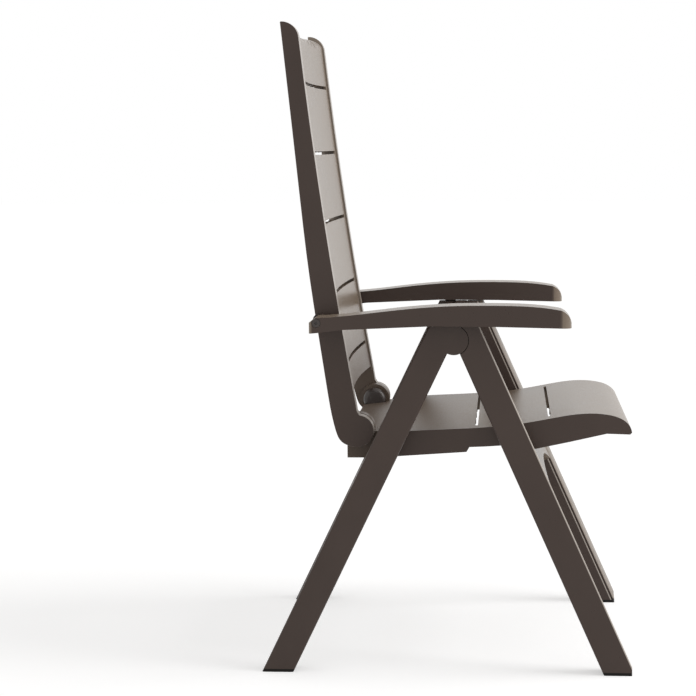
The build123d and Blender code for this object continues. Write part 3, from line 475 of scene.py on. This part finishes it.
def softened(node, finish, width=EASED_WIDTH, refined=None, eased_from=None):
    """The node's own shape with merged corners and eased edges, standing for the node.

    Edges are eased by their angle, or, given a distance from the middle plane, only beyond it.
    """
    mesh = frame["nodes"][node].data.copy()
    stored_normals = mesh.attributes.get("custom_normal")
    if stored_normals:
        mesh.attributes.remove(stored_normals)
    work = bmesh.new()
    work.from_mesh(mesh)
    bmesh.ops.remove_doubles(work, verts=work.verts, dist=MERGE_DISTANCE)
    bmesh.ops.dissolve_limit(work, angle_limit=radians(FLAT_ANGLE), verts=work.verts, edges=work.edges)
    if refined:
        work.normal_update()
        refined(work)
    if eased_from is not None:
        weights = work.edges.layers.float.new("bevel_weight_edge")
        for line in work.edges:
            outer = all(abs(corner.co.x) > eased_from for corner in line.verts)
            line[weights] = 1.0 if outer and line.calc_face_angle(0.0) > radians(EASED_ANGLE) else 0.0
    work.to_mesh(mesh)
    work.free()
    mesh.name = node + "_moulded"
    piece = object_from(node + "_moulded", mesh, body_of(node), finish)
    ease = piece.modifiers.new("edge", "BEVEL")
    ease.width = width
    ease.segments = EASED_SEGMENTS
    ease.limit_method = "ANGLE" if eased_from is None else "WEIGHT"
    ease.angle_limit = radians(EASED_ANGLE)
    ease.harden_normals = True
    ease.use_clamp_overlap = True
    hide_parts(node)


def dress(node, finish):
    """A node that keeps its own shape, with a full material."""
    mesh = frame["nodes"][node].data
    mesh.materials.clear()
    mesh.materials.append(finish)


for side in ("left", "right"):
    softened("front_leg_" + side, FRONT_LEG)
    softened("rear_leg_" + side, REAR_LEG)
    softened("armrest_" + side, ARM, ARM_EASED_WIDTH)
    dress("arm_pivot_pin_" + side, PIN)
    dress("arm_pivot_nut_" + side, PIN)
    dress("arm_pivot_bush_" + side, BEARING)
for panel in ("front_cross_panel", "rear_cross_panel"):
    softened(panel, PANEL)
softened("seat_shell", SEAT, SEAT_EASED_WIDTH)
softened("backrest_shell", BACKREST, refined=refined_sheet, eased_from=RAIL_EASED_FROM)
for node in ("rear_foot_caps", "front_foot_caps"):
    dress(node, FOOT)
for node in ("leg_pivot_pins", "catch_pegs", "seat_hinge_pins", "back_hinge_pins"):
    dress(node, PIN)
for node in ("leg_pivot_washers", "seat_hinge_washers", "back_hinge_washers"):
    dress(node, BEARING)
for node in ("front_panel_dowels", "rear_panel_dowels"):
    dress(node, BEARING)


# Stage
def seen_rays(nodes):
    """1 where the camera sees a surface straight, mirrored or through glass, 0 where it only lights."""
    straight = nodes.node("ShaderNodeLightPath", output="Is Camera Ray")
    mirrored = straight.beside("Is Glossy Ray")
    through = straight.beside("Is Transmission Ray")
    return straight.at_least(mirrored).at_least(through)


def stage_floor():
    """A plain pale floor that reads as white and keeps the chair's shadow."""
    mesh = bpy.data.meshes.new("floor")
    work = bmesh.new()
    bmesh.ops.create_grid(work, x_segments=1, y_segments=1, size=FLOOR_SIZE)
    work.to_mesh(mesh)
    work.free()
    floor = bpy.data.objects.new("floor", mesh)
    bpy.context.scene.collection.objects.link(floor)
    pale = Finish("floor_white")
    plain = pale.node("ShaderNodeBsdfDiffuse", {}, {"Color": FLOOR_PALE})
    glow = pale.node("ShaderNodeEmission", {}, {"Color": WHITE, "Strength": FLOOR_GLOW})
    both = pale.node("ShaderNodeAddShader", {}, {0: plain, 1: glow})
    mix = pale.node("ShaderNodeMixShader", {}, {0: seen_rays(pale), 1: plain, 2: both})
    pale.node("ShaderNodeOutputMaterial", {}, {"Surface": mix})
    mesh.materials.append(pale.material)


def studio_world():
    """White behind the chair, and a softer sky that lights it."""
    world = bpy.data.worlds.new("studio")
    bpy.context.scene.world = world
    world.use_nodes = True
    sky = Nodes(world.node_tree)
    soft = sky.node("ShaderNodeBackground", {}, {"Color": SKY, "Strength": SKY_STRENGTH})
    white = sky.node("ShaderNodeBackground", {}, {"Color": WHITE, "Strength": WHITE_STRENGTH})
    mix = sky.node("ShaderNodeMixShader", {}, {0: seen_rays(sky), 1: soft, 2: white})
    sky.node("ShaderNodeOutputWorld", {}, {"Surface": mix})


def studio_light(name, towards, strength, spread):
    """A sun that shines in one direction, with softened shadows."""
    lamp = bpy.data.lights.new(name, "SUN")
    lamp.energy = strength
    lamp.angle = radians(spread)
    light = bpy.data.objects.new(name, lamp)
    light.rotation_euler = Vector(towards).to_track_quat("-Z", "Y").to_euler()
    bpy.context.scene.collection.objects.link(light)


def soft_box(name, place, target, size, power):
    """A large soft lamp in front, whose light falls off gently along the chair."""
    lamp = bpy.data.lights.new(name, "AREA")
    lamp.shape = "RECTANGLE"
    lamp.size, lamp.size_y = size
    lamp.energy = power
    light = bpy.data.objects.new(name, lamp)
    light.location = place
    light.rotation_euler = (Vector(target) - Vector(place)).to_track_quat("-Z", "Y").to_euler()
    bpy.context.scene.collection.objects.link(light)


def studio_camera():
    """The photograph's own view, from the chair's near side."""
    heading = radians(CAMERA_HEADING)
    drop = radians(CAMERA_DROP)
    roll = radians(CAMERA_ROLL)
    ahead = Vector((cos(heading) * cos(drop), sin(heading) * cos(drop), -sin(drop)))
    right = Vector((sin(heading), -cos(heading), 0.0))
    up = right.cross(ahead)
    across = right * cos(roll) + up * sin(roll)
    above = -right * sin(roll) + up * cos(roll)
    turn = Matrix((across, above, -ahead)).transposed()
    camera_data = bpy.data.cameras.new("camera")
    camera_data.sensor_width = SENSOR
    camera_data.lens = CAMERA_LENS
    camera_data.clip_end = CAMERA_REACH
    camera = bpy.data.objects.new("camera", camera_data)
    camera.matrix_world = Matrix.Translation(CAMERA_PLACE) @ turn.to_4x4()
    bpy.context.scene.collection.objects.link(camera)
    bpy.context.scene.camera = camera


stage_floor()
studio_world()
studio_light("key", KEY_TOWARDS, KEY_STRENGTH, KEY_SPREAD)
soft_box("front", BOX_PLACE, BOX_TARGET, BOX_SIZE, BOX_POWER)
studio_camera()
bpy.context.scene.view_settings.view_transform = "Standard"
